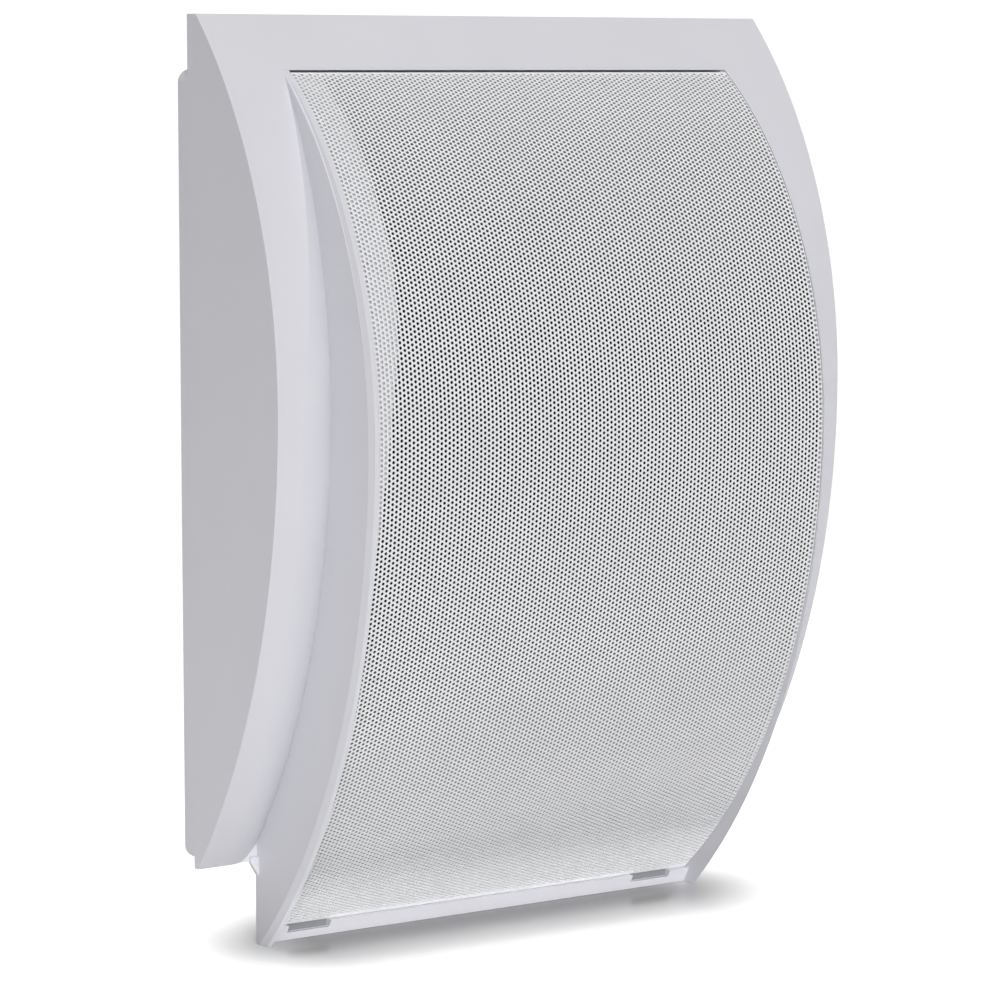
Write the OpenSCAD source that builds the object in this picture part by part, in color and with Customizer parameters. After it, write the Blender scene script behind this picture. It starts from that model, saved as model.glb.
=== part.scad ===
// Wall-mounted public address loudspeaker with a bowed front, a raised
// curved grille frame and a flat wall plate.
// Frame: X across the front (+X right seen from the front), Y depth with the
// wall face at Y = 0 and the front facing -Y, Z up. The origin is the middle
// of the wall plate's back face.

/* [Cabinet] */
// Width across the cabinet's back edge
cab_w = 198.5; // [196:0.5:201]
// Width across the cabinet where the front is furthest out
cab_w_front = 196.1; // [194:0.1:196.5]
// Height of the top edge above the wall plate's middle
top_z = 134.7; // [133:0.1:136]
// Level of the outer frame's bottom edge
flange_bottom_z = -120.5; // [-121.5:0.1:-120]
// Level of the lower lip's bottom edge
lip_bottom_z = -146.3; // [-148:0.1:-145.5]
// Depth of the outer frame's furthest point from the wall
bow_depth = 61.1; // [60:0.1:62]
// Radius of the outer frame's bow below its furthest point
bow_r_low = 219; // [216:1:222]
// Radius of the outer frame's bow above its furthest point
bow_r_high = 154.5; // [152:0.5:157]
// Wall thickness of the cabinet moulding
wall = 2.5; // [2:0.1:2.8]

/* [Raised frame] */
// Width across the raised frame's side walls
frame_w = 157.5; // [156:0.5:158]
// Depth of the raised frame's side edge from the wall
frame_depth = 79; // [78.6:0.1:79.4]
// Radius of the raised frame's bow below its furthest point
frame_r_low = 215; // [213:0.5:217]
// Radius of the raised frame's bow above its furthest point
frame_r_high = 132.5; // [132:0.1:133]
// Height of the bevel on the raised frame's edge
bevel_h = 3.3; // [3.1:0.05:3.4]
// Width of the bevel on the raised frame's edge
bevel_w = 1.6; // [1.5:0.05:1.65]
// Level of the grille's top edge
grille_top_z = 118.3; // [117.5:0.1:118.5]
// Level of the grille's bottom edge
grille_bottom_z = -141.2; // [-141.6:0.1:-140.8]
// Length of each release slot in the lip
slot_len = 14.5; // [12:0.5:16]
// Distance of each release slot's middle from the centre line
slot_x = 62.5; // [58:0.5:66]

/* [Grille] */
// Thickness of the steel grille sheet
grille_t = 0.8; // [0.6:0.1:0.9]
// Space for the cloth bonded behind the grille
cloth_t = 0.3; // [0.2:0.05:0.4]
// Radius of the grille's bow below its furthest point
grille_r_low = 198.8; // [198.4:0.1:199.2]
// Radius of the grille's bow above its furthest point
grille_r_high = 129.7; // [129.4:0.1:130]
// Depth of the grille's furthest point from the wall
grille_depth = 82.1; // [81.9:0.1:82.2]
// Width of the shelf that the grille rests on
ledge_w = 10.8; // [9:0.2:12]

/* [Wall plate] */
// Height of the wall plate
plate_h = 237.2; // [236:0.2:237.6]
// Depth of the wall plate's rim
plate_d = 6.5; // [6:0.1:7]
// Spacing of the wall screw holes across
wall_hole_dx = 150; // [140:1:156]
// Spacing of the wall screw holes up and down
wall_hole_dz = 160; // [150:1:170]
// Radius of the wall screw holes
wall_hole_r = 2.5; // [2:0.1:3]
// Radius of the cable entry's bore
cable_r = 6; // [4:0.5:6.5]

/* [Driver] */
// Level of the driver's axis
driver_z = 5; // [3:0.5:7]
// Radius of the driver's mounting flange
driver_r = 64.5; // [63:0.5:64.5]
// Radius of the magnet
magnet_r = 35; // [32:0.5:36]
// Travel of the cone each way
travel = 3; // [1:0.5:3]

/* [Hidden] */
$fn = 96;

yb = -plate_d;                       // plane where cabinet and wall plate meet
hw = frame_w / 2;                    // raised frame's half width
bow_z = 21.85;                       // level of the outer bow's furthest point
bow_c_low = [bow_r_low - bow_depth, bow_z];
bow_c_high = [bow_r_high - bow_depth, bow_z];
frame_z = 13;                        // level of the raised frame's furthest point
frame_c_low = [frame_r_low - frame_depth, frame_z];
frame_c_high = [frame_r_high - frame_depth, frame_z];
grille_c_low = [grille_r_low - grille_depth, frame_z];
grille_c_high = [grille_r_high - grille_depth, frame_z];
pocket_hw = hw - bevel_w - 0.1;      // half width of the grille's pocket
grille_hw = pocket_hw - 0.2;
ledge_t = 2.4;
open_hw = pocket_hw - ledge_w;       // half width of the sound opening
cove_x = 90;                         // where the flange starts to fall away
cove_r = 16.5;
baffle_y = -52;                      // front of the baffle board
baffle_t = 6;
boss_x = 69;
boss_zs = [-66, driver_z, 76];
driver_screw_r = 60.5;
tongue_x = 50;

// Turns a profile drawn as [radius, X] about an axis along X through c = [Y, Z]
module wheel(c) translate([0, c[0], c[1]]) rotate([90, 0, 90]) rotate_extrude($fn = 180) children();
// The front part of a body, below or above a level
module below(z) intersection() { children(); block([-120, -150, -200], [120, 8, z]); }
module above(z) intersection() { children(); block([-120, -150, z], [120, 8, 200]); }

// A profile in Y and Z, drawn out along X
module along_x(w) translate([-w / 2, 0, 0]) rotate([90, 0, 90]) linear_extrude(w) children();

// A box between two corners
module block(a, b) translate(a) cube([b[0] - a[0], b[1] - a[1], b[2] - a[2]]);

// A rod or hole along Y
module rod_y(x, z, r, y0, y1) translate([x, y0, z]) rotate([-90, 0, 0]) cylinder(r = r, h = y1 - y0);

// A ring turned about the driver's axis from points [radius, Y]
module turned(pts) translate([0, 0, driver_z]) rotate([-90, 0, 0]) rotate_extrude() polygon(pts);
module turned2d() translate([0, 0, driver_z]) rotate([-90, 0, 0]) rotate_extrude() children();

// Profiles as [radius, X]: solid out to radius r, or a band between two radii
module flat_profile(r, h) translate([0, -h]) square([r, 2 * h]);
module ring_profile(r0, r1, h) translate([r0, -h]) square([r1 - r0, 2 * h]);

// Solid behind the grille's bow, and a band along it, at offsets from its face
module grille_solid(d, h) {
  below(frame_z) wheel(grille_c_low) flat_profile(grille_r_low + d, h);
  above(frame_z) wheel(grille_c_high) flat_profile(grille_r_high + d, h);
}
module grille_band(d0, d1, h) {
  below(frame_z) wheel(grille_c_low) ring_profile(grille_r_low + d0, grille_r_low + d1, h);
  above(frame_z) wheel(grille_c_high) ring_profile(grille_r_high + d0, grille_r_high + d1, h);
}

// Outer frame: bowed front, drafted side walls
module outer_solid() intersection() {
  union() {
    below(bow_z) wheel(bow_c_low) flat_profile(bow_r_low, 110);
    above(bow_z) wheel(bow_c_high) flat_profile(bow_r_high, 110);
  }
  translate([0, 0, flange_bottom_z]) linear_extrude(top_z - flange_bottom_z)
    polygon([[-cab_w / 2, yb], [-cab_w_front / 2, -62], [cab_w_front / 2, -62], [cab_w / 2, yb]]);
}

// The falling-away strip of the flange beside the raised frame
module cove_profile(r) for (s = [-1, 1]) difference() {
  translate([r - 12, s > 0 ? hw - 6 : -cove_x]) square([24, cove_x - hw + 6]);
  translate([r - cove_r, s * cove_x]) circle(r = cove_r);
}
module coves() intersection() {
  union() {
    below(bow_z) wheel(bow_c_low) cove_profile(bow_r_low);
    // Above the furthest point the strip grows shallower and runs out
    above(bow_z) wheel([118.6, bow_z]) cove_profile(118.6 + bow_depth);
  }
  block([-100, -95, -130], [100, yb - 0.8, grille_top_z]);
}

// Raised frame with its bevelled edge
module raised_profile(r) polygon([[0, -hw], [r, -hw], [r + 0.75 * bevel_h, -hw + 0.5 * bevel_w],
  [r + bevel_h, -hw + bevel_w], [r + bevel_h, hw - bevel_w], [r + 0.75 * bevel_h, hw - 0.5 * bevel_w],
  [r, hw], [0, hw]]);
module raised_solid() intersection() {
  union() {
    below(frame_z) wheel(frame_c_low) raised_profile(frame_r_low);
    above(frame_z) wheel(frame_c_high) flat_profile(frame_r_high - 0.05, hw);
    // Above, the edge keeps level with the grille
    above(frame_z) wheel(grille_c_high) raised_profile(grille_r_high + 0.2 - bevel_h);
  }
  block([-100, -95, lip_bottom_z], [100, yb, grille_top_z]);
}

// Hollow behind the flange, thicker where the flange falls away
module hollow_profile(r) polygon([[0, -95.5], [r - wall, -95.5], [r - wall, -89.5], [r - 7.2, -89.5],
  [r - 7.2, 89.5], [r - wall, 89.5], [r - wall, 95.5], [0, 95.5]]);
module flange_hollow(z0, z1) intersection() {
  union() {
    below(bow_z) wheel(bow_c_low) hollow_profile(bow_r_low);
    above(bow_z) wheel(bow_c_high) hollow_profile(bow_r_high);
  }
  block([-100, -95, z0], [100, 1, z1]);
}

module front_cabinet() color([0.88, 0.88, 0.89]) {
  difference() {
    union() {
      difference() {
        union() {
          difference() { outer_solid(); coves(); }
          raised_solid();
        }
        // Main hollow, open at the back
        flange_hollow(-117, 116);
        intersection() {
          grille_solid(-grille_t - ledge_t, hw - 2.4);
          block([-100, -95, -117], [100, 1, 113]);
        }
      }
      // Bosses for the baffle board
      intersection() {
        for (x = [-boss_x, boss_x], z = boss_zs) rod_y(x, z, 4, -82, baffle_y);
        grille_solid(-grille_t - 1.2, hw - 1);
      }
      // Tongues that locate the cabinet on the wall plate
      for (x = [-tongue_x, tongue_x]) {
        block([x - 10, -12, 112.5], [x + 10, yb - 0.1, 116.5]);
        block([x - 10, -12, 112.5], [x + 10, yb + 3.2, 115.8]);
        block([x - 10, -12, -117.5], [x + 10, yb - 0.1, -112]);
        block([x - 10, -12, -115.8], [x + 10, yb + 3.9, -112]);
      }
      // Gussets between the outer frame's bottom edge and the lip
      for (s = [0, 1]) mirror([s, 0, 0]) translate([0, yb, 0]) rotate([90, 0, 0]) linear_extrude(2)
        polygon([[hw - 1, -119], [hw - 1, -125.6], [hw, -125.1], [hw + 2.6, flange_bottom_z], [hw + 2.6, -119]]);
    }
    // Cored pocket behind the top band
    flange_hollow(119.5, top_z - 3);
    // Cored pockets behind the lower lip, with ribs between them
    intersection() {
      grille_solid(-grille_t - ledge_t, hw - 2.4);
      union() for (x = [-57.3, -19.1, 19.1, 57.3])
        block([x - 18.2, -60, -136.8], [x + 18.2, 1, -120.6]);
    }
    // Pocket for the grille
    intersection() {
      grille_band(-grille_t - cloth_t, 14, pocket_hw);
      block([-100, -110, grille_bottom_z], [100, 1, grille_top_z + 0.01]);
    }
    // Groove behind the grille's top edge
    intersection() {
      wheel(grille_c_high) ring_profile(grille_r_high - 4, grille_r_high + 2, pocket_hw - 0.5);
      block([-100, -95, grille_top_z - 1.6], [100, 1, grille_top_z + 0.01]);
    }
    // Face of the lower lip below the grille
    along_x(2 * pocket_hw) polygon([[-40, grille_bottom_z + 0.01], [-11, grille_bottom_z + 0.01],
      [-7.6, lip_bottom_z - 0.5], [-40, lip_bottom_z - 0.5]]);
    // Sound opening
    block([-open_hw, -95, -114], [open_hw, -20, 110]);
    // Release slots at the grille's bottom edge
    for (x = [-slot_x, slot_x])
      block([x - slot_len / 2, -16, grille_bottom_z - 2.4], [x + slot_len / 2, -7.9, grille_bottom_z + 5.2]);
    // Pilot holes for the baffle screws and the retaining screws
    for (x = [-boss_x, boss_x], z = boss_zs) rod_y(x, z, 1.5, -61, baffle_y + 1);
    for (x = [-tongue_x, tongue_x]) translate([x, yb + 2.2, -118]) cylinder(r = 0.95, h = 8);
  }
}

module grille() color([0.93, 0.93, 0.93]) intersection() {
  grille_band(-grille_t, 0, grille_hw);
  block([-100, -110, grille_bottom_z + 0.1], [100, 1, grille_top_z - 0.7]);
}

// Cuts through everything along Y
module along_y_cut(points) rotate([90, 0, 0]) linear_extrude(110) polygon(points);

module grille_cloth() color([0.03, 0.03, 0.03]) intersection() {
  grille_band(-grille_t - cloth_t + 0.03, -grille_t - 0.03, grille_hw);
  // Bonded behind the grille, its left edge cut by hand
  along_y_cut([[-67.5, 116.6], [-64.5, 92], [-66.5, 60], [-68.7, 40], [-71.4, 25.6], [-73.2, 11.5], [-74.8, -2.7],
    [-76, -18], [-76.5, -30], [-76.5, -140.4], [76.5, -140.4], [76.5, 116.6]]);
}

module baffle_board() color([0.12, 0.12, 0.12]) difference() {
  translate([0, baffle_y + baffle_t, 2.5]) rotate([90, 0, 0]) linear_extrude(baffle_t) difference() {
    union() {
      square([136, 161], center = true);
      square([148, 149], center = true);
      for (x = [-68, 68], z = [-74.5, 74.5]) translate([x, z]) circle(r = 6);
    }
  }
  rod_y(0, driver_z, 57.2, baffle_y - 1, baffle_y + baffle_t + 1);
  for (x = [-boss_x, boss_x], z = boss_zs) rod_y(x, z, 1.8, baffle_y - 1, baffle_y + baffle_t + 1);
  for (a = [45 : 90 : 315]) rod_y(driver_screw_r * cos(a), driver_z + driver_screw_r * sin(a), 1.65, baffle_y - 1, baffle_y + baffle_t + 1);
}

// Pan-head screw along Y, head at the end that dir points to
module screw_y(x, z, r, y0, y1, hr, hh, dir) {
  rod_y(x, z, r, y0, y1);
  if (dir < 0) rod_y(x, z, hr, y0 - hh, y0); else rod_y(x, z, hr, y1, y1 + hh);
}

module baffle_screws() color([0.72, 0.72, 0.74])
  for (x = [-boss_x, boss_x], z = boss_zs) screw_y(x, z, 1.45, -60, baffle_y + baffle_t, 3.4, 2, 1);

module driver_basket() color([0.35, 0.35, 0.36]) difference() {
  turned([[55.0, -53.2], [driver_r, -53.2], [driver_r, -52.0], [56.2, -52.0], [41.0, -33.0], [37.0, -33.0],
    [37.0, -26.0], [14.6, -26.0], [14.6, -27.0], [36.0, -27.0], [36.0, -34.0], [40.4, -34.0]]);
  // Windows between the four arms
  for (a = [0 : 90 : 270]) translate([0, 0, driver_z]) rotate([0, a, 0])
    block([30, -49, -20], [75, -36.5, 20]);
  for (a = [45 : 90 : 315]) rod_y(driver_screw_r * cos(a), driver_z + driver_screw_r * sin(a), 2, -54, -51);
}

module driver_gasket() color([0.2, 0.2, 0.2]) difference() {
  turned([[57, -56], [driver_r, -56], [driver_r, -53.2], [61.2, -53.2], [61.2, -53.8], [57, -53.8]]);
  for (a = [45 : 90 : 315]) rod_y(driver_screw_r * cos(a), driver_z + driver_screw_r * sin(a), 2, -57, -52);
}

module driver_screws() color([0.72, 0.72, 0.74])
  for (a = [45 : 90 : 315]) screw_y(driver_screw_r * cos(a), driver_z + driver_screw_r * sin(a), 1.6, -56, -46.5, 3.3, 2, -1);

module surround() color([0.1, 0.1, 0.1]) difference() {
  turned2d() {
    translate([55.9, -53.8]) square([4.6, 0.6]);
    translate([46.5, -53.5]) square([3, 0.6]);
    difference() {
      translate([52.5, -53.2]) circle(r = 3.6);
      translate([52.5, -53.2]) circle(r = 3.0);
      translate([45, -53.2]) square([15, 10]);
    }
  }
  for (a = [45 : 90 : 315]) rod_y(driver_screw_r * cos(a), driver_z + driver_screw_r * sin(a), 2, -55, -52);
}

module cone() color([0.16, 0.15, 0.14])
  turned([[13.05, -36.0], [13.05, -37.0], [46.2, -52.9], [49, -52.9], [49, -52.1], [46.5, -52.1]]);

module whizzer_cone() color([0.62, 0.56, 0.45])
  turned([[18.3, -39.65], [18.95, -39.85], [29.5, -50.2], [29.0, -50.7]]);

module dust_cap() color([0.14, 0.13, 0.12]) turned2d() intersection() {
  difference() {
    translate([0, -13.25]) circle(r = 31.4);
    translate([0, -13.25]) circle(r = 30.8);
  }
  translate([0, -60]) square([17, 30]);
}

module voice_coil() color([0.72, 0.42, 0.2])
  turned([[12.75, -37.5], [13.0, -37.5], [13.0, -28.0], [13.85, -28.0], [13.85, -19.5], [12.75, -19.5]]);

// Corrugated centring disc
spider_n = 10;
function spider_y(i) = -35.1 + 0.45 * (i % 2 == 0 ? -1 : 1);
module spider() color([0.78, 0.62, 0.3])
  turned(concat(
    [[13.1, -35.35]], [for (i = [0 : spider_n]) [15 + 18.5 * i / spider_n, spider_y(i) - 0.2]], [[35, -34.5], [39.6, -34.5]],
    [[39.6, -34.0], [34.6, -34.0]], [for (i = [spider_n : -1 : 0]) [15 + 18.5 * i / spider_n, spider_y(i) + 0.2]], [[13.1, -34.85]]));

module top_plate() color([0.7, 0.68, 0.6]) turned([[14.2, -26], [36, -26], [36, -21], [14.2, -21]]);
module magnet() color([0.18, 0.18, 0.19]) turned([[17.5, -21], [magnet_r - 0.6, -21], [magnet_r, -20.4],
  [magnet_r, -13.6], [magnet_r - 0.6, -13], [17.5, -13]]);
module t_yoke() color([0.7, 0.68, 0.6]) turned([[0, -9], [33.5, -9], [34.5, -10], [34.5, -13], [12.4, -13], [12.4, -26.2], [0, -26.2]]);

module terminal_strip() color([0.45, 0.3, 0.15]) {
  block([-9, -32.9, -45], [9, -31.7, -32.1]);
  // Solder tags
  for (x = [-5, 5]) block([x - 1.6, -31.7, -47], [x + 1.6, -31.2, -40]);
}

// A wire of radius r swept along points
function unit(v) = v / norm(v);
function tangent(p, i) = unit(i == 0 ? p[1] - p[0] : i == len(p) - 1 ? p[i] - p[i - 1] : unit(p[i + 1] - p[i]) + unit(p[i] - p[i - 1]));
function side(t) = unit(cross(t, abs(t[0]) < 0.8 ? [1, 0, 0] : [0, 0, 1]));
function wire_ring(p, i, r, n) = let (t = tangent(p, i), u = side(t), v = cross(t, u))
  [for (k = [0 : n - 1]) p[i] + r * (cos(360 * k / n) * u + sin(360 * k / n) * v)];
module wire(p, r, n = 8) polyhedron(
  points = [for (i = [0 : len(p) - 1]) each wire_ring(p, i, r, n)],
  faces = concat([[for (k = [0 : n - 1]) k]], [[for (k = [n - 1 : -1 : 0]) (len(p) - 1) * n + k]],
    [for (i = [0 : len(p) - 2], k = [0 : n - 1]) [i * n + k, (i + 1) * n + k, (i + 1) * n + (k + 1) % n, i * n + (k + 1) % n]]));
// Rounds a route of corner points with short curves
function mix(a, b, t) = a * (1 - t) + b * t;
function corner(a, b, c, f, n) = let (p = mix(b, a, f), q = mix(b, c, f))
  [for (k = [0 : n]) let (t = k / n) mix(mix(p, b, t), mix(b, q, t), t)];
function route(p, f = 0.4, n = 4) = concat([p[0]],
  [for (i = [1 : len(p) - 2]) each corner(p[i - 1], p[i], p[i + 1], f, n)], [p[len(p) - 1]]);

module tinsel_leads() color([0.7, 0.5, 0.3]) for (s = [-1, 1])
  wire(route([[s * 4, -39.4, -22], [s * 4.4, -37.6, -27], [s * 5, -40, -33], [s * 5, -40, -43], [s * 5, -33.4, -43.4]]), 0.45);

module wall_plate() color([0.86, 0.86, 0.87]) difference() {
  union() {
    difference() {
      translate([0, 0, 0]) rotate([90, 0, 0]) linear_extrude(plate_d) rounded(cab_w, plate_h, 4);
      translate([0, -wall, 0]) rotate([90, 0, 0]) linear_extrude(plate_d) rounded(cab_w - 5, plate_h - 5, 2);
    }
    // Posts for the transformer and the terminal block
    for (x = [15.5, 64.5]) rod_y(x, -80, 3.5, -6.5, -2);
    for (x = [-55, -15]) rod_y(x, -92, 3, -6.5, -2);
    // Pads around the wall screw holes
    for (x = [-wall_hole_dx / 2, wall_hole_dx / 2], z = [-wall_hole_dz / 2, wall_hole_dz / 2]) rod_y(x, z, 6, -4, -2);
  }
  for (x = [-wall_hole_dx / 2, wall_hole_dx / 2], z = [-wall_hole_dz / 2, wall_hole_dz / 2]) rod_y(x, z, wall_hole_r, -9, 1);
  for (x = [15.5, 64.5]) rod_y(x, -80, 1.2, -9, -3.2);
  for (x = [-55, -15]) rod_y(x, -92, 1.2, -9, -3.2);
  // Cable entry
  rod_y(0, -104, 8.5, -9, 1);
  // Clearance holes for the retaining screws
  for (x = [-tongue_x, tongue_x]) translate([x, yb + 2.2, -120]) cylinder(r = 1.4, h = 5);
}
module rounded(w, h, r) {
  square([w - 2 * r, h], center = true);
  square([w, h - 2 * r], center = true);
  for (x = [-1, 1], z = [-1, 1]) translate([x * (w / 2 - r), z * (h / 2 - r)]) circle(r = r);
}

module retaining_screws() color([0.72, 0.72, 0.74]) for (x = [-tongue_x, tongue_x]) translate([x, yb + 2.2, -118.6]) {
  cylinder(r = 0.9, h = 6.4);
  translate([0, 0, -1.5]) cylinder(r = 1.9, h = 1.5);
}

module cable_grommet() color([0.08, 0.08, 0.08]) translate([0, 0, -104]) rotate([-90, 0, 0]) rotate_extrude()
  polygon([[cable_r, -4.5], [9.6, -4.5], [11, -3.9], [11, -2.5], [8.45, -2.5], [8.45, -0.2], [cable_r, -0.2]]);

module terminal_block() color([0.2, 0.2, 0.21]) difference() {
  union() {
    block([-50, -16.5, -98], [-20, -6.5, -86]);
    block([-58.5, -9, -95], [-50, -6.5, -89]);
    block([-20, -9, -95], [-11.5, -6.5, -89]);
  }
  // Screw wells and wire holes
  for (x = [-45, -35, -25]) {
    rod_y(x, -92, 2.2, -17, -12);
    translate([x, -10.2, -99]) cylinder(r = 1.7, h = 14);
  }
  for (x = [-55, -15]) rod_y(x, -92, 1.5, -10, -6);
}

module clamp_screws() color([0.75, 0.68, 0.4]) for (x = [-45, -35, -25]) difference() {
  rod_y(x, -92, 2.1, -14.6, -12.0);
  block([x - 2.5, -15, -92.3], [x + 2.5, -14, -91.7]);
}
module block_screws() color([0.72, 0.72, 0.74]) for (x = [-55, -15]) screw_y(x, -92, 1.15, -9, -3.6, 2.4, 1.6, -1);

// Iron core with two windows, made of stacked laminations
module transformer_core() color([0.4, 0.4, 0.42]) difference() {
  block([20, -24, -96.5], [60, -10, -63.5]);
  for (s = [-1, 1]) block([40 + s * 10 - 3.6, -25, -90], [40 + s * 10 + 3.6, -9, -70]);
}
module transformer_winding() color([0.75, 0.6, 0.2]) difference() {
  union() {
    block([27.2, -29, -89.4], [52.8, -5, -70.6]);
  }
  // Clears the core's middle leg and its end bars
  block([33.5, -24.1, -97], [46.5, -9.9, -63]);
  for (x = [20, 53.4]) block([x, -24.1, -97], [x + 6.6, -9.9, -63]);
}
module transformer_bracket() color([0.7, 0.7, 0.7]) difference() {
  union() {
    block([18.9, -25.1, -84], [19.9, -6.5, -76]);
    block([60.1, -25.1, -84], [61.1, -6.5, -76]);
    block([18.9, -25.1, -84], [26.6, -24.1, -76]);
    block([53.4, -25.1, -84], [61.1, -24.1, -76]);
    block([11.5, -7.5, -84], [19.9, -6.5, -76]);
    block([60.1, -7.5, -84], [68.5, -6.5, -76]);
  }
  for (x = [15.5, 64.5]) rod_y(x, -80, 1.6, -9, -5);
}
module transformer_screws() color([0.72, 0.72, 0.74]) for (x = [15.5, 64.5]) screw_y(x, -80, 1.15, -7.5, -3.6, 2.6, 1.8, -1);

module driver_leads() color([0.7, 0.1, 0.1]) for (s = [-1, 1])
  wire(route([[40 + s * 5, -29.2, -73.5], [40 + s * 5, -33, -73.5], [38 + s * 4, -33, -62], [s * 5 + 6, -26, -56], [s * 5, -26, -52], [s * 5, -30.3, -46]]), 0.8);
module input_leads() color([0.15, 0.15, 0.15]) for (i = [0, 1])
  wire(route([[-45 + i * 20, -10.2, -86.2], [-45 + i * 20, -10.2, -78], [-26 + i * 16, -16, -66 - i * 5], [12, -32, -68 - i * 5], [38, -32.4, -80 - i * 5], [38, -29.2, -80 - i * 5]]), 0.8);

module damping_pad() color([0.85, 0.85, 0.82]) translate([0, -2.6, 0]) rotate([90, 0, 0]) linear_extrude(19)
  translate([0, 76]) rounded(132, 62, 8);

front_cabinet();
grille();
grille_cloth();
baffle_board();
baffle_screws();
driver_basket();
driver_gasket();
driver_screws();
surround();
cone();
whizzer_cone();
dust_cap();
voice_coil();
spider();
top_plate();
magnet();
t_yoke();
terminal_strip();
tinsel_leads();
wall_plate();
retaining_screws();
cable_grommet();
terminal_block();
clamp_screws();
block_screws();
transformer_core();
transformer_winding();
transformer_bracket();
transformer_screws();
driver_leads();
input_leads();
damping_pad();
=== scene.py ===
import math

import bpy
import numpy as np
from mathutils import Matrix, Quaternion, Vector


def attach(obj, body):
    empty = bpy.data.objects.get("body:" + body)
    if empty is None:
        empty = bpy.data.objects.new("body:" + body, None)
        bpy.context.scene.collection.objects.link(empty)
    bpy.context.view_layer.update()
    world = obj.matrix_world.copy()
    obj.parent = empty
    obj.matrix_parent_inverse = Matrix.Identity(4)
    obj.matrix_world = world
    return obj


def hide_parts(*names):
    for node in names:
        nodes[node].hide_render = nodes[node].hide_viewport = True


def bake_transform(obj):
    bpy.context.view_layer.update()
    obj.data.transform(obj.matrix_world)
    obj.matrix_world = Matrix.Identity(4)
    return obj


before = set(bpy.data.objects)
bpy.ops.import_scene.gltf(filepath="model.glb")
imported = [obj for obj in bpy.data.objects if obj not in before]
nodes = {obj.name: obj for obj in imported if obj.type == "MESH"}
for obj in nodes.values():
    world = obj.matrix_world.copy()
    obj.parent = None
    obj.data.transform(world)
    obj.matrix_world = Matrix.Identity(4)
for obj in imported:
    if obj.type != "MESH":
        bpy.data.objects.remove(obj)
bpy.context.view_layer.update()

scene = bpy.context.scene
MM = 0.001


# ---------------------------------------------------------------- camera
def make_camera():
    cam = bpy.data.objects.new("camera", bpy.data.cameras.new("camera"))
    scene.collection.objects.link(cam)
    yaw, pitch = 0.5389, 0.0991
    forward = Vector((math.sin(yaw) * math.cos(pitch), math.cos(yaw) * math.cos(pitch), -math.sin(pitch)))
    cam.rotation_mode = "QUATERNION"
    cam.rotation_quaternion = forward.to_track_quat("-Z", "Y") @ Quaternion((0, 0, 1), math.radians(CAM_ROLL))
    cam.location = Vector((-526.55, -900.05, 119.03)) * MM
    cam.data.sensor_width = 36
    cam.data.lens = 3343.2 * 36 / 1000
    cam.data.shift_x = CAM_SHIFT_X
    cam.data.shift_y = -0.1
    cam.data.clip_start, cam.data.clip_end = 0.05, 60
    scene.camera = cam


CAM_ROLL = 0.0
CAM_SHIFT_X = 0.0
make_camera()


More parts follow.
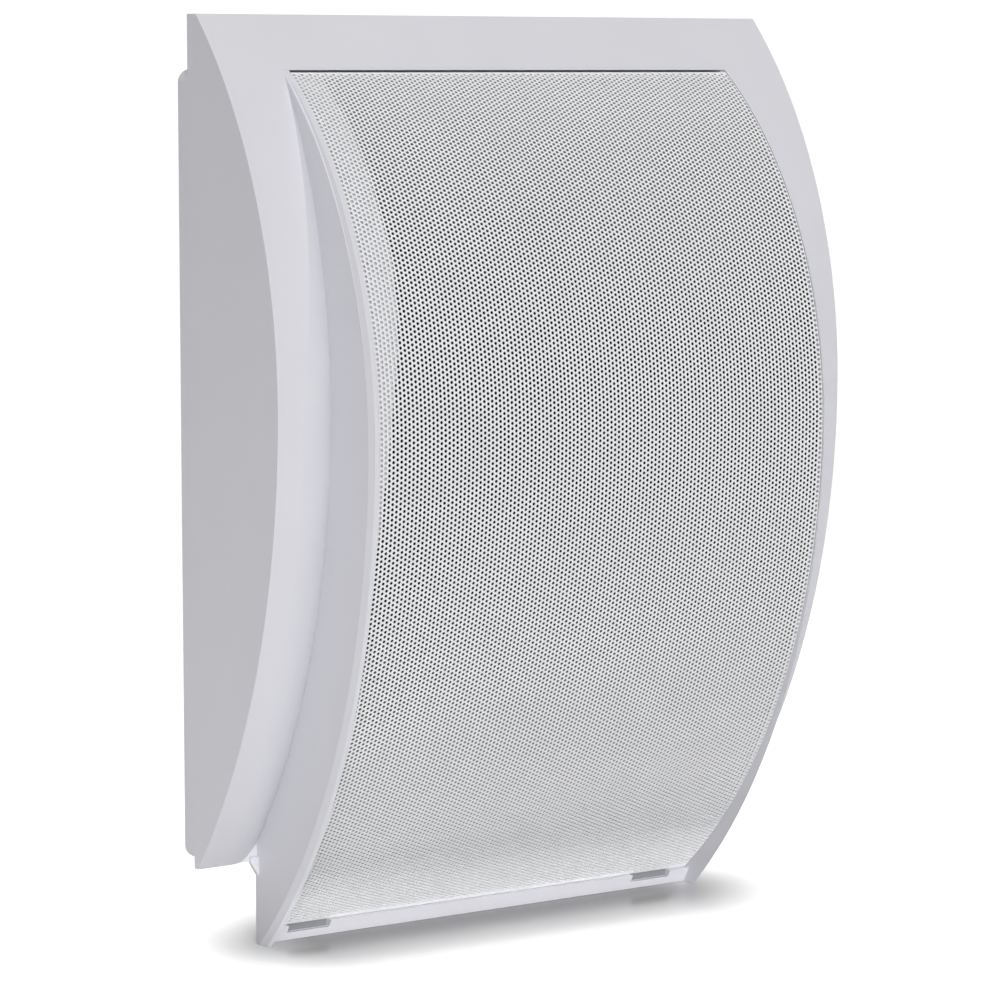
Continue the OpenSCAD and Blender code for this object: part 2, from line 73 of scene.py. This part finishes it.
# ---------------------------------------------------------------- materials
class Paint:
    """Builds one procedural material in the row frame, in metres."""

    def __init__(self, name):
        self.m = bpy.data.materials.new(name)
        self.m.use_nodes = True
        self.t = self.m.node_tree
        self.t.nodes.clear()
        self.out = self.t.nodes.new("ShaderNodeOutputMaterial")
        self.b = self.t.nodes.new("ShaderNodeBsdfPrincipled")
        self.t.links.new(self.b.outputs["BSDF"], self.out.inputs["Surface"])
        self.co = self.t.nodes.new("ShaderNodeTexCoord").outputs["Object"]

    def node(self, kind, **values):
        n = self.t.nodes.new(kind)
        for k, v in values.items():
            setattr(n, k, v)
        return n

    def link(self, a, b):
        self.t.links.new(a, b)
        return b

    def stretched(self, scale, turn=(0, 0, 0)):
        n = self.node("ShaderNodeMapping")
        n.inputs["Scale"].default_value = scale
        n.inputs["Rotation"].default_value = turn
        self.link(self.co, n.inputs["Vector"])
        return n.outputs["Vector"]

    def noise(self, scale, detail=2.0, rough=0.5, vector=None, distortion=0.0):
        n = self.node("ShaderNodeTexNoise")
        n.inputs["Scale"].default_value = scale
        n.inputs["Detail"].default_value = detail
        n.inputs["Roughness"].default_value = rough
        n.inputs["Distortion"].default_value = distortion
        self.link(vector or self.co, n.inputs["Vector"])
        return n.outputs["Fac"]

    def wave(self, scale, direction="X", vector=None, distortion=0.0, profile="SIN"):
        n = self.node("ShaderNodeTexWave", wave_type="BANDS", bands_direction=direction, wave_profile=profile)
        n.inputs["Scale"].default_value = scale
        n.inputs["Distortion"].default_value = distortion
        n.inputs["Detail"].default_value = 1.0
        self.link(vector or self.co, n.inputs["Vector"])
        return n.outputs["Fac"]

    def rings(self, scale, distortion=0.0, vector=None):
        n = self.node("ShaderNodeTexWave", wave_type="RINGS", rings_direction="Y", wave_profile="SIN")
        n.inputs["Scale"].default_value = scale
        n.inputs["Distortion"].default_value = distortion
        self.link(vector or self.co, n.inputs["Vector"])
        return n.outputs["Fac"]

    def math(self, op, a, b, clamp=False):
        n = self.node("ShaderNodeMath", operation=op, use_clamp=clamp)
        for i, x in enumerate((a, b)):
            if isinstance(x, (int, float)):
                n.inputs[i].default_value = x
            else:
                self.link(x, n.inputs[i])
        return n.outputs[0]

    def spread(self, value, low, high, start=0.25, end=0.75):
        n = self.node("ShaderNodeMapRange")
        n.inputs["From Min"].default_value = start
        n.inputs["From Max"].default_value = end
        n.inputs["To Min"].default_value = low
        n.inputs["To Max"].default_value = high
        self.link(value, n.inputs["Value"])
        return n.outputs["Result"]

    def colours(self, value, dark, light, start=0.3, end=0.7):
        n = self.node("ShaderNodeValToRGB")
        n.color_ramp.elements[0].position, n.color_ramp.elements[1].position = start, end
        n.color_ramp.elements[0].color = (*dark, 1)
        n.color_ramp.elements[1].color = (*light, 1)
        self.link(value, n.inputs["Fac"])
        return n.outputs["Color"]

    def mix(self, value, a, b, kind="MIX"):
        n = self.node("ShaderNodeMix", data_type="RGBA", blend_type=kind)
        for x, i in ((value, 0), (a, 6), (b, 7)):
            if isinstance(x, (int, float)):
                n.inputs[i].default_value = x
            elif isinstance(x, tuple):
                n.inputs[i].default_value = (*x, 1)
            else:
                self.link(x, n.inputs[i])
        return n.outputs[2]

    def base(self, colour):
        self.link(colour, self.b.inputs["Base Color"])

    def rough(self, value):
        self.link(value, self.b.inputs["Roughness"])

    def bump(self, height, distance, strength=1.0, last=None):
        n = self.node("ShaderNodeBump")
        n.inputs["Strength"].default_value = strength
        n.inputs["Distance"].default_value = distance
        self.link(height, n.inputs["Height"])
        if last:
            self.link(last, n.inputs["Normal"])
        return n.outputs["Normal"]

    def normal(self, normal):
        self.link(normal, self.b.inputs["Normal"])

    def set(self, **values):
        for k, v in values.items():
            self.b.inputs[k.replace("_", " ")].default_value = v
        return self


def scaled(c, k):
    return tuple(min(1.0, x * k) for x in c)


def moulded(name, c, rough=0.38, vary=0.02, grain=2600, depth=0.000012, spec=0.5, slot_shade=False):
    """Moulded plastic with a fine spark-eroded grain, faint flow marks and handling gloss; optionally painted
    shade inside the release slots.
    """
    p = Paint(name)
    flow = p.noise(9, 3, 0.55, p.stretched((1.0, 1.0, 0.35)))
    cloud = p.noise(42, 2, 0.5)
    both = p.math("ADD", p.math("MULTIPLY", flow, 0.6), p.math("MULTIPLY", cloud, 0.4))
    colour = p.colours(both, scaled(c, 1 - vary), scaled(c, 1 + vary * 0.5))
    if slot_shade:
        # Painted shade: inside the release slots the colour is darkened to 0.3, standing in for the dark behind
        # the grille that the slots run into.
        part = p.node("ShaderNodeSeparateXYZ")
        p.link(p.co, part.inputs[0])
        x = p.math("ABSOLUTE", part.outputs[0], 0.0)
        inside = p.math("COMPARE", x, 0.0625)
        inside.node.inputs[2].default_value = 0.00722
        deep = p.math("GREATER_THAN", part.outputs[1], -0.01085)
        low = p.math("COMPARE", part.outputs[2], -0.14)
        low.node.inputs[2].default_value = 0.00355
        front = p.math("LESS_THAN", part.outputs[1], -0.0078)
        slot_shade_mask = p.math("MULTIPLY", p.math("MULTIPLY", inside, deep), p.math("MULTIPLY", low, front))
        colour = p.mix(slot_shade_mask, colour, scaled(c, 0.3))
    p.base(colour)
    fine = p.noise(grain, 2, 0.6)
    p.rough(p.math("ADD", p.spread(cloud, rough - 0.03, rough + 0.04), p.spread(fine, -0.02, 0.02)))
    p.normal(p.bump(fine, depth, 0.6, p.bump(p.noise(120, 2, 0.5), 0.00001, 0.35)))
    p.set(Specular_IOR_Level=spec)
    return p.m


def powder(name, c, rough=0.42):
    """Powder paint on sheet steel: slight orange peel and a satin sheen."""
    p = Paint(name)
    peel = p.noise(900, 2, 0.55)
    cloud = p.noise(30, 2, 0.5)
    p.base(p.colours(cloud, scaled(c, 0.985), c))
    p.rough(p.math("ADD", p.spread(cloud, rough - 0.03, rough + 0.03), p.spread(peel, -0.03, 0.03)))
    p.normal(p.bump(peel, 0.000012, 0.5))
    p.set(Specular_IOR_Level=0.5)
    return p.m


def woven(name, c, thread=0.00045, rough=0.9, depth=0.00008, fuzz=0.15):
    """Plain weave: threads across X and Z, with uneven yarn."""
    p = Paint(name)
    k = math.pi * 2 / thread / 20
    a = p.wave(k, "X", distortion=0.4)
    b = p.wave(k, "Z", distortion=0.4)
    weave = p.math("MULTIPLY", a, b)
    yarn = p.noise(380, 3, 0.6, p.stretched((1, 1, 0.2)))
    p.base(p.colours(p.math("ADD", p.math("MULTIPLY", weave, 0.6), p.math("MULTIPLY", yarn, 0.4)), scaled(c, 0.45), scaled(c, 1.5)))
    p.rough(p.spread(yarn, rough - 0.06, min(1, rough + 0.06)))
    p.normal(p.bump(weave, depth, 0.8))
    p.set(Sheen_Weight=fuzz, Sheen_Roughness=0.5)
    return p.m


def metal(name, c, rough=0.3, lines=(1, 1, 1), grain=1400, depth=0.000006, vary=0.06):
    p = Paint(name)
    v = p.stretched(lines)
    brushed = p.noise(grain, 2, 0.5, v)
    stain = p.noise(55, 3, 0.6)
    p.base(p.colours(stain, scaled(c, 1 - vary), scaled(c, 1 + vary)))
    p.rough(p.math("ADD", p.spread(stain, rough - 0.05, rough + 0.08), p.spread(brushed, -0.04, 0.04)))
    p.normal(p.bump(brushed, depth, 0.6))
    p.set(Metallic=1.0)
    return p.m


def papery(name, c, rough=0.85):
    """Pressed paper: felted fibres and faint concentric press marks about the driver's axis."""
    p = Paint(name)
    fibre = p.noise(700, 5, 0.7, distortion=0.6)
    axis = p.node("ShaderNodeMapping")
    axis.inputs["Location"].default_value = (0, 0, -0.005)
    p.link(p.co, axis.inputs["Vector"])
    ring = p.rings(120, 0.3, axis.outputs["Vector"])
    p.base(p.colours(fibre, scaled(c, 0.75), scaled(c, 1.3)))
    p.rough(p.spread(fibre, rough - 0.08, min(1, rough + 0.08)))
    p.normal(p.bump(fibre, 0.00006, 0.6, p.bump(ring, 0.00004, 0.4)))
    return p.m


def grained(name, c, rough=0.6, scale=500, depth=0.00003, vary=0.15, **extra):
    p = Paint(name)
    g = p.noise(scale, 4, 0.6)
    cloud = p.noise(70, 2, 0.5)
    p.base(p.colours(p.math("ADD", p.math("MULTIPLY", g, 0.5), p.math("MULTIPLY", cloud, 0.5)), scaled(c, 1 - vary), scaled(c, 1 + vary)))
    p.rough(p.spread(cloud, rough - 0.06, min(1, rough + 0.06)))
    p.normal(p.bump(g, depth, 0.6))
    p.set(**extra)
    return p.m


def laminated(name, c):
    """Stacked steel sheets seen on edge."""
    p = Paint(name)
    sheets = p.wave(math.pi * 2 / 0.0005 / 20, "Y", distortion=0.1)
    stain = p.noise(120, 3, 0.6)
    p.base(p.mix(0.5, p.colours(sheets, scaled(c, 0.6), scaled(c, 1.2)), p.colours(stain, scaled(c, 0.8), scaled(c, 1.15))))
    p.rough(p.spread(stain, 0.4, 0.6))
    p.normal(p.bump(sheets, 0.00006, 0.7))
    p.set(Metallic=0.85)
    return p.m


def fibrous(name, c):
    """Loose wadding: soft tangled fibres."""
    p = Paint(name)
    a = p.noise(260, 6, 0.7, p.stretched((1, 1, 0.3), (0.2, 0.5, 0.3)), 1.2)
    b = p.noise(90, 4, 0.6, distortion=0.8)
    both = p.math("ADD", p.math("MULTIPLY", a, 0.6), p.math("MULTIPLY", b, 0.4))
    p.base(p.colours(both, scaled(c, 0.7), scaled(c, 1.08)))
    p.rough(p.spread(a, 0.88, 1.0))
    p.normal(p.bump(a, 0.0005, 0.8, p.bump(b, 0.0012, 0.7)))
    p.set(Sheen_Weight=0.3)
    return p.m


WHITE = (0.728, 0.727, 0.770)
finish = {
    # The white plastic carries painted shade inside its release slots.
    "white_plastic": moulded("white_plastic", WHITE, slot_shade=True),
    "grille_paint": powder("grille_paint", (0.91, 0.914, 0.928)),
    "black_cloth": woven("black_cloth", (0.008, 0.008, 0.009)),
    "black_board": grained("black_board", (0.02, 0.019, 0.018), 0.75, 320, 0.00008, 0.35),
    "screw_steel": metal("screw_steel", (0.62, 0.62, 0.64), 0.28),
    "basket_steel": grained("basket_steel", (0.035, 0.036, 0.038), 0.42, 900, 0.00002, 0.12),
    "gasket": grained("gasket", (0.02, 0.02, 0.02), 0.9, 420, 0.0001, 0.3),
    "surround_rubber": grained("surround_rubber", (0.02, 0.02, 0.021), 0.58, 900, 0.00002, 0.2, Sheen_Weight=0.1),
    "cone_paper": papery("cone_paper", (0.035, 0.033, 0.031)),
    "whizzer_paper": papery("whizzer_paper", (0.42, 0.36, 0.26)),
    "copper": metal("copper", (0.78, 0.36, 0.18), 0.25, (1, 12, 1), 900),
    "spider_cloth": woven("spider_cloth", (0.55, 0.38, 0.14), 0.0005, 0.85, 0.0001, 0.2),
    "plated_steel": metal("plated_steel", (0.72, 0.68, 0.56), 0.24, (1, 1, 6), 900),
    "ferrite": grained("ferrite", (0.05, 0.05, 0.052), 0.62, 600, 0.00005, 0.2),
    "phenolic": grained("phenolic", (0.2, 0.11, 0.05), 0.45, 400, 0.00003, 0.2),
    "black_rubber": grained("black_rubber", (0.018, 0.018, 0.018), 0.62, 700, 0.00004, 0.2),
    "black_plastic": moulded("black_plastic", (0.022, 0.022, 0.023), 0.42, 0.15, 1500, 0.00002),
    "brass": metal("brass", (0.8, 0.6, 0.26), 0.26),
    "core_steel": laminated("core_steel", (0.32, 0.32, 0.34)),
    "winding_tape": grained("winding_tape", (0.75, 0.58, 0.16), 0.4, 200, 0.00005, 0.12),
    "red_wire": grained("red_wire", (0.5, 0.02, 0.015), 0.42, 300, 0.00002, 0.1),
    "black_wire": grained("black_wire", (0.02, 0.02, 0.02), 0.42, 300, 0.00002, 0.15),
    "wadding": fibrous("wadding", (0.8, 0.79, 0.75)),
}

for name, node in nodes.items():
    for s in node.material_slots:
        key = s.material.name if s.material else ""
        key = key.split(".")[0]
        s.link = "OBJECT"
        s.material = finish[key]


# ---------------------------------------------------------------- mesh helpers
def new_object(name, verts, faces, material, smooth_angle=None, uv=None):
    """faces is a list of (n, k) index arrays. uv, if given, is one (n, k, 2) array for each."""
    me = bpy.data.meshes.new(name)
    corners = np.concatenate([f.ravel() for f in faces]).astype(np.int32)
    count = np.concatenate([np.full(len(f), f.shape[1], np.int32) for f in faces])
    start = np.concatenate([[0], np.cumsum(count)[:-1]]).astype(np.int32)
    me.vertices.add(len(verts))
    me.vertices.foreach_set("co", np.asarray(verts, np.float32).ravel())
    me.loops.add(len(corners))
    me.loops.foreach_set("vertex_index", corners)
    me.polygons.add(len(count))
    me.polygons.foreach_set("loop_start", start)
    me.polygons.foreach_set("loop_total", count)
    me.update(calc_edges=True)
    me.validate()
    me.shade_smooth()
    if smooth_angle:
        me.set_sharp_from_angle(angle=math.radians(smooth_angle))
    if uv is not None:
        layer = me.uv_layers.new(name="OFBake")
        layer.uv.foreach_set("vector", np.concatenate([u.reshape(-1, 2) for u in uv]).astype(np.float32).ravel())
    me.materials.append(material)
    ob = bpy.data.objects.new(name, me)
    scene.collection.objects.link(ob)
    return ob


# ---------------------------------------------------------------- perforated grille
R_HIGH, R_LOW, DEPTH, JOIN_Z = 129.7, 198.8, 82.1, 13.0
SHEET = 0.32  # the pressed edge stands off the ledge by the rest of the solid's 0.8
HALF = 76.85
PITCH = 1.5
STEP_X = 1.302
COLUMNS = 118
HOLE = 0.545  # corner radius of a hexagon as open as a round 1.0 hole
Z_TOP, Z_BOTTOM = 117.6, -141.1
S_TOP = R_HIGH * math.asin((Z_TOP - JOIN_Z) / R_HIGH)
S_BOTTOM = -R_LOW * math.asin((JOIN_Z - Z_BOTTOM) / R_LOW)
TOP_MARGIN, BOTTOM_MARGIN = 1.15, 1.6


def on_sheet(x, s, depth):
    """Points of the bowed sheet, in mm: s is the length along the bow, up from the joint of its two arcs."""
    a = s / np.where(s >= 0, R_HIGH, R_LOW)
    r = np.where(s >= 0, R_HIGH, R_LOW)
    y = (r - DEPTH) - (r - depth) * np.cos(a)
    z = JOIN_Z + (r - depth) * np.sin(a)
    return np.stack([x, y, z], -1)


def perforated(name, first, last, rows):
    """One band of the sheet: rows first to last of each column, as a closed solid with every hole cut through."""
    half_step = PITCH / 2
    i, k = np.meshgrid(np.arange(COLUMNS), np.arange(first, last), indexing="ij")
    i, k = i.ravel(), k.ravel()
    x = (i - (COLUMNS - 1) / 2) * STEP_X
    s = S_TOP - TOP_MARGIN - PITCH * k - half_step * (i % 2)
    centre = np.stack([x, s], -1)
    rim = PITCH / math.sqrt(3)
    turn = np.radians(np.arange(6) * 60)
    outer_x = np.array([STEP_X * 2 / 3, STEP_X / 3, -STEP_X / 3, -STEP_X * 2 / 3, -STEP_X / 3, STEP_X / 3])
    outer_s = np.array([0, 1, 1, 0, -1, -1]) * half_step
    outer = centre[:, None] + np.stack([outer_x, outer_s], -1)[None]
    left, right = (i == 0)[:, None], (i == COLUMNS - 1)[:, None]
    outer[..., 0] = np.where(left & (outer_x < 0)[None], -HALF, outer[..., 0])
    outer[..., 0] = np.where(right & (outer_x > 0)[None], HALF, outer[..., 0])
    inner = centre[:, None] + HOLE * np.stack([np.cos(turn), np.sin(turn)], -1)[None]

    n = len(centre)
    points = [outer.reshape(-1, 2)]
    borders = []
    for edge in ("top", "bottom"):
        if (edge == "top" and first > 0) or (edge == "bottom" and last < rows):
            continue
        row = first if edge == "top" else last - 1
        up = edge == "top"
        line = []
        for c in range(COLUMNS):
            cx = (c - (COLUMNS - 1) / 2) * STEP_X
            cs = S_TOP - TOP_MARGIN - PITCH * row - half_step * (c % 2) + (half_step if up else -half_step)
            a = -HALF if c == 0 else cx - STEP_X / 3
            b = HALF if c == COLUMNS - 1 else cx + STEP_X / 3
            line += [(a, cs), (b, cs)]
        line = np.array(line)
        if up:
            end = np.stack([line[:, 0], np.full(len(line), S_TOP)], -1)
            quads = np.stack([line[:-1], line[1:], end[1:], end[:-1]], 1)
        else:
            end = np.stack([line[:, 0], np.full(len(line), S_BOTTOM)], -1)
            quads = np.stack([end[:-1], end[1:], line[1:], line[:-1]], 1)
        borders.append(quads)
        points.append(quads.reshape(-1, 2))
    flat = np.concatenate(points)
    keys = np.round(flat * 2000).astype(np.int64)
    _, where, index = np.unique(keys, axis=0, return_index=True, return_inverse=True)
    index = index.ravel()
    shared = flat[where]
    n_shared = len(shared)
    outer_id = index[: n * 6].reshape(n, 6)
    inner_id = n_shared + np.arange(n * 6).reshape(n, 6)
    after = np.roll(np.arange(6), -1)
    ring = np.stack([outer_id, outer_id[:, after], inner_id[:, after], inner_id], -1).reshape(-1, 4)
    faces = [ring]
    at = n * 6
    for quads in borders:
        m = len(quads)
        faces.append(index[at : at + m * 4].reshape(m, 4))
        at += m * 4
    front = np.concatenate(faces)
    plane = np.concatenate([shared, inner.reshape(-1, 2)])
    # Where a wall's far edge goes on the map: into the hole, or just past the sheet's edge
    far = np.concatenate([shared + np.sign(shared) * 0.0, (centre[:, None] + 0.45 * (inner - centre[:, None])).reshape(-1, 2)])
    edge_a = front.ravel()
    edge_b = np.roll(front, -1, 1).ravel()
    total = len(plane)
    there = np.sort(edge_a * total + edge_b)
    back_key = edge_b * total + edge_a
    found = there[np.searchsorted(there, back_key).clip(0, len(there) - 1)] == back_key
    a, b = edge_a[~found], edge_b[~found]
    outside = a < n_shared
    d = plane[b] - plane[a]
    away = np.stack([d[:, 1], -d[:, 0]], -1) / np.maximum(np.linalg.norm(d, axis=1, keepdims=True), 1e-9)
    verts = np.concatenate([on_sheet(plane[:, 0], plane[:, 1], 0.0), on_sheet(plane[:, 0], plane[:, 1], SHEET)])
    walls = np.stack([b, a, a + total, b + total], -1)
    back = front[:, ::-1] + total

    low, high = plane[:, 1].min() - 1, plane[:, 1].max() + 1

    def mapped(p, side):
        u = (p[..., 0] + HALF + 1) / (2 * HALF + 2) * 0.5 + 0.5 * side
        return np.stack([u, (p[..., 1] - low) / (high - low)], -1)

    far_a = np.where(outside[:, None], plane[a] + away * 0.4, far[a])
    far_b = np.where(outside[:, None], plane[b] + away * 0.4, far[b])
    wall_uv = mapped(np.stack([plane[b], plane[a], far_a, far_b], 1), 0)
    uv = [mapped(plane[front], 0), wall_uv, mapped(plane[front[:, ::-1]], 1)]
    ob = new_object(name, verts * MM, [front, walls, back], finish["grille_paint"], 75, uv)
    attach(ob, "cabinet")
    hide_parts("grille")
    return ob


ROWS = int((S_TOP - TOP_MARGIN - (S_BOTTOM + BOTTOM_MARGIN) - PITCH / 2) / PITCH) + 1
BANDS = 5
cuts = [round(ROWS * b / BANDS) for b in range(BANDS + 1)]
for b in range(BANDS):
    perforated(f"grille_sheet_{b + 1}", cuts[b], cuts[b + 1], ROWS)


# ---------------------------------------------------------------- cloth bonded behind the grille
CLOTH_EDGE = [(-141.0, -76.5), (-30.0, -76.5), (-18.0, -76.0), (-2.7, -74.8), (11.5, -73.2), (25.6, -71.4), (40.0, -68.7),
              (60.0, -66.5), (92.0, -64.5), (117.0, -67.5)]


def grille_backing():
    """The black cloth: a thin closed sheet on the grille's bow, its left edge cut by hand, slightly puckered."""
    low = -R_LOW * math.asin((JOIN_Z + 140.2) / R_LOW)
    high = R_HIGH * math.asin((116.4 - JOIN_Z) / R_HIGH)
    rows, columns = 150, 80
    s = np.linspace(low, high, rows)
    z = np.where(s >= 0, JOIN_Z + R_HIGH * np.sin(s / R_HIGH), JOIN_Z + R_LOW * np.sin(s / R_LOW))
    left = np.interp(z, [e[0] for e in CLOTH_EDGE], [e[1] for e in CLOTH_EDGE])
    t = np.linspace(0, 1, columns)
    x = left[:, None] * (1 - t) + 76.5 * t
    ss = np.repeat(s[:, None], columns, 1)
    pucker = 0.035 * np.sin(x * 0.31 + 1.3 * np.sin(ss * 0.05)) * np.cos(ss * 0.21 + 0.8 * np.sin(x * 0.07))
    front = on_sheet(x, ss, 0.88 + pucker).reshape(-1, 3)
    back = on_sheet(x, ss, 1.03 + pucker).reshape(-1, 3)
    n = rows * columns
    g = np.arange(n).reshape(rows, columns)
    quads = np.stack([g[:-1, :-1], g[:-1, 1:], g[1:, 1:], g[1:, :-1]], -1).reshape(-1, 4)
    rim = np.concatenate([g[0, :], g[1:, -1], g[-1, -2::-1], g[-2:0:-1, 0]])
    nxt = np.roll(rim, -1)
    walls = np.stack([nxt, rim, rim + n, nxt + n], -1)
    ob = new_object("grille_backing", np.concatenate([front, back]) * MM, [quads, walls, quads[:, ::-1] + n], finish["black_cloth"], 50)
    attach(ob, "cabinet")
    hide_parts("grille_cloth")


grille_backing()


# ---------------------------------------------------------------- soft parts inside
def copy_of(node, name, slot):
    src = nodes[node]
    me = src.data.copy()
    me.name = name
    me.materials.clear()
    me.materials.append(finish[slot])
    ob = bpy.data.objects.new(name, me)
    scene.collection.objects.link(ob)
    return ob


def radial(ob):
    """Bakes the object's placement into its mesh."""
    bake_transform(ob)


ob = copy_of("surround", "surround_roll", "surround_rubber")
radial(ob)
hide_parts("surround")

ob = copy_of("spider", "spider_disc", "spider_cloth")
radial(ob)
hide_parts("spider")

ob = copy_of("tinsel_leads", "tinsel_braid", "copper")
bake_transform(ob)
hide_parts("tinsel_leads")


# ---------------------------------------------------------------- floor, light
def make_floor():
    """A white table with a painted contact shadow: seen by the camera it glows, less towards the line on which
    the object stands, where its colour also darkens; far off it glows evenly and fades into the backdrop.
    """
    me = bpy.data.meshes.new("floor")
    s, z = 12.0, -0.1464
    me.from_pydata([(-s, -s, z), (s, -s, z), (s, s, z), (-s, s, z)], [], [(0, 1, 2, 3)])
    ob = bpy.data.objects.new("floor", me)
    scene.collection.objects.link(ob)
    p = Paint("floor_white_painted_shadow")
    flat = p.node("ShaderNodeVectorMath", operation="MULTIPLY")
    flat.inputs[1].default_value = (1, 1, 0)
    p.link(p.co, flat.inputs[0])
    far = p.node("ShaderNodeVectorMath", operation="LENGTH")
    p.link(flat.outputs[0], far.inputs[0])
    r = far.outputs["Value"]
    p.rough(p.spread(p.noise(20, 2, 0.5), 0.1, 0.13))
    p.set(Specular_IOR_Level=0.3)
    p.b.inputs["Emission Color"].default_value = (1, 1, 1, 1)
    seen = p.node("ShaderNodeLightPath").outputs["Is Camera Ray"]
    # How far a point is from the line on which the object stands
    part = p.node("ShaderNodeSeparateXYZ")
    p.link(p.co, part.inputs[0])
    beside = p.math("MAXIMUM", p.math("SUBTRACT", p.math("ABSOLUTE", part.outputs[0], 0.0), 0.06), 0.0)
    before = p.math("ADD", part.outputs[1], 0.012)
    d = p.math("SQRT", p.math("ADD", p.math("MULTIPLY", beside, beside), p.math("MULTIPLY", before, before)), 0.0)
    contact_shadow_ramp = p.node("ShaderNodeMapRange", interpolation_type="SMOOTHSTEP")
    for k, v in (("From Min", 0.0), ("From Max", GLOW_REACH), ("To Min", GLOW_NEAR), ("To Max", GLOW_MID)):
        contact_shadow_ramp.inputs[k].default_value = v
    p.link(d, contact_shadow_ramp.inputs["Value"])
    # Painted contact shadow: the camera-seen glow and the table's colour both fall off towards the object's base
    # line.
    p.link(p.math("MULTIPLY", contact_shadow_ramp.outputs["Result"], seen), p.b.inputs["Emission Strength"])
    p.base(p.mix(p.math("DIVIDE", contact_shadow_ramp.outputs["Result"], GLOW_MID), (0.28, 0.28, 0.28), (0.94, 0.94, 0.94)))
    glow = p.node("ShaderNodeEmission")
    p.link(p.spread(seen, 0.4, 1.03, 0.0, 1.0), glow.inputs["Strength"])
    mix = p.node("ShaderNodeMixShader")
    n = p.node("ShaderNodeMapRange", interpolation_type="SMOOTHSTEP")
    n.inputs["From Min"].default_value = 0.3
    n.inputs["From Max"].default_value = 0.8
    p.link(r, n.inputs["Value"])
    p.link(n.outputs["Result"], mix.inputs[0])
    p.link(p.b.outputs[0], mix.inputs[1])
    p.link(glow.outputs[0], mix.inputs[2])
    p.link(mix.outputs[0], p.out.inputs["Surface"])
    me.materials.append(p.m)
    ob.visible_shadow = False


# Camera-seen glow at the object's base line, glow beyond the painted contact shadow, and the shadow's reach in m.
GLOW_NEAR, GLOW_MID, GLOW_REACH = 0.0, 0.72, 0.053


def area(name, at, target, size, power, colour=(1, 1, 1), size_y=None):
    light = bpy.data.lights.new(name, "AREA")
    light.energy = power
    light.color = colour
    light.size = size
    if size_y:
        light.shape = "RECTANGLE"
        light.size_y = size_y
    ob = bpy.data.objects.new(name, light)
    scene.collection.objects.link(ob)
    ob.location = at
    ob.rotation_mode = "QUATERNION"
    ob.rotation_quaternion = (Vector(target) - Vector(at)).to_track_quat("-Z", "Y")
    return ob


def sun(name, direction, strength, angle, colour=(1, 1, 1)):
    light = bpy.data.lights.new(name, "SUN")
    light.energy = strength
    light.angle = math.radians(angle)
    light.color = colour
    ob = bpy.data.objects.new(name, light)
    scene.collection.objects.link(ob)
    ob.rotation_mode = "QUATERNION"
    ob.rotation_quaternion = Vector(direction).to_track_quat("-Z", "Y")
    return ob


def make_world(seen, front, behind, colour=(1, 1, 1)):
    """White backdrop; what it gives to the scene is brighter behind the object than in front."""
    world = bpy.data.worlds.new("studio")
    scene.world = world
    world.use_nodes = True
    t = world.node_tree
    t.nodes.clear()
    out = t.nodes.new("ShaderNodeOutputWorld")
    mix = t.nodes.new("ShaderNodeMixShader")
    path = t.nodes.new("ShaderNodeLightPath")
    co = t.nodes.new("ShaderNodeTexCoord")
    part = t.nodes.new("ShaderNodeSeparateXYZ")
    side = t.nodes.new("ShaderNodeMapRange")
    side.interpolation_type = "SMOOTHSTEP"
    for k, v in (("From Min", -0.15), ("From Max", 0.3), ("To Min", front), ("To Max", behind)):
        side.inputs[k].default_value = v
    a = t.nodes.new("ShaderNodeBackground")
    b = t.nodes.new("ShaderNodeBackground")
    a.inputs["Color"].default_value = (*colour, 1)
    b.inputs["Color"].default_value = (1, 1, 1, 1)
    b.inputs["Strength"].default_value = seen
    t.links.new(co.outputs["Generated"], part.inputs[0])
    t.links.new(part.outputs["Y"], side.inputs["Value"])
    t.links.new(side.outputs["Result"], a.inputs["Strength"])
    t.links.new(path.outputs["Is Camera Ray"], mix.inputs[0])
    t.links.new(a.outputs[0], mix.inputs[1])
    t.links.new(b.outputs[0], mix.inputs[2])
    t.links.new(mix.outputs[0], out.inputs["Surface"])


make_floor()
make_world(1.05, 0.02, 0.38)


def toward(azimuth, elevation):
    """The way light travels from that side: azimuth 0 is the front and turns to the left."""
    a, e = math.radians(azimuth), math.radians(elevation)
    return Vector((math.sin(a) * math.cos(e), math.cos(a) * math.cos(e), -math.sin(e)))


sun("overhead", (0.05, 0.12, -1.0), 0.33 * math.pi, 50)
sun("key", toward(18, 22), 0.61 * math.pi, 25)
sun("bounce", toward(25, -35), 0.05 * math.pi, 60)
low_left = area("low_left", (-0.55, -0.25, -0.14), (-0.09, -0.04, -0.13), 0.4, 0.3)
low_left.visible_camera = False
low_left.visible_glossy = False
card = area("card", (0.0, -0.17, -0.14), (0.0, -0.05, -0.1405), 0.17, 0.008, size_y=0.008)
card.data.spread = math.radians(18)
card.visible_camera = False
card.visible_glossy = False
scene.view_settings.view_transform = "Standard"
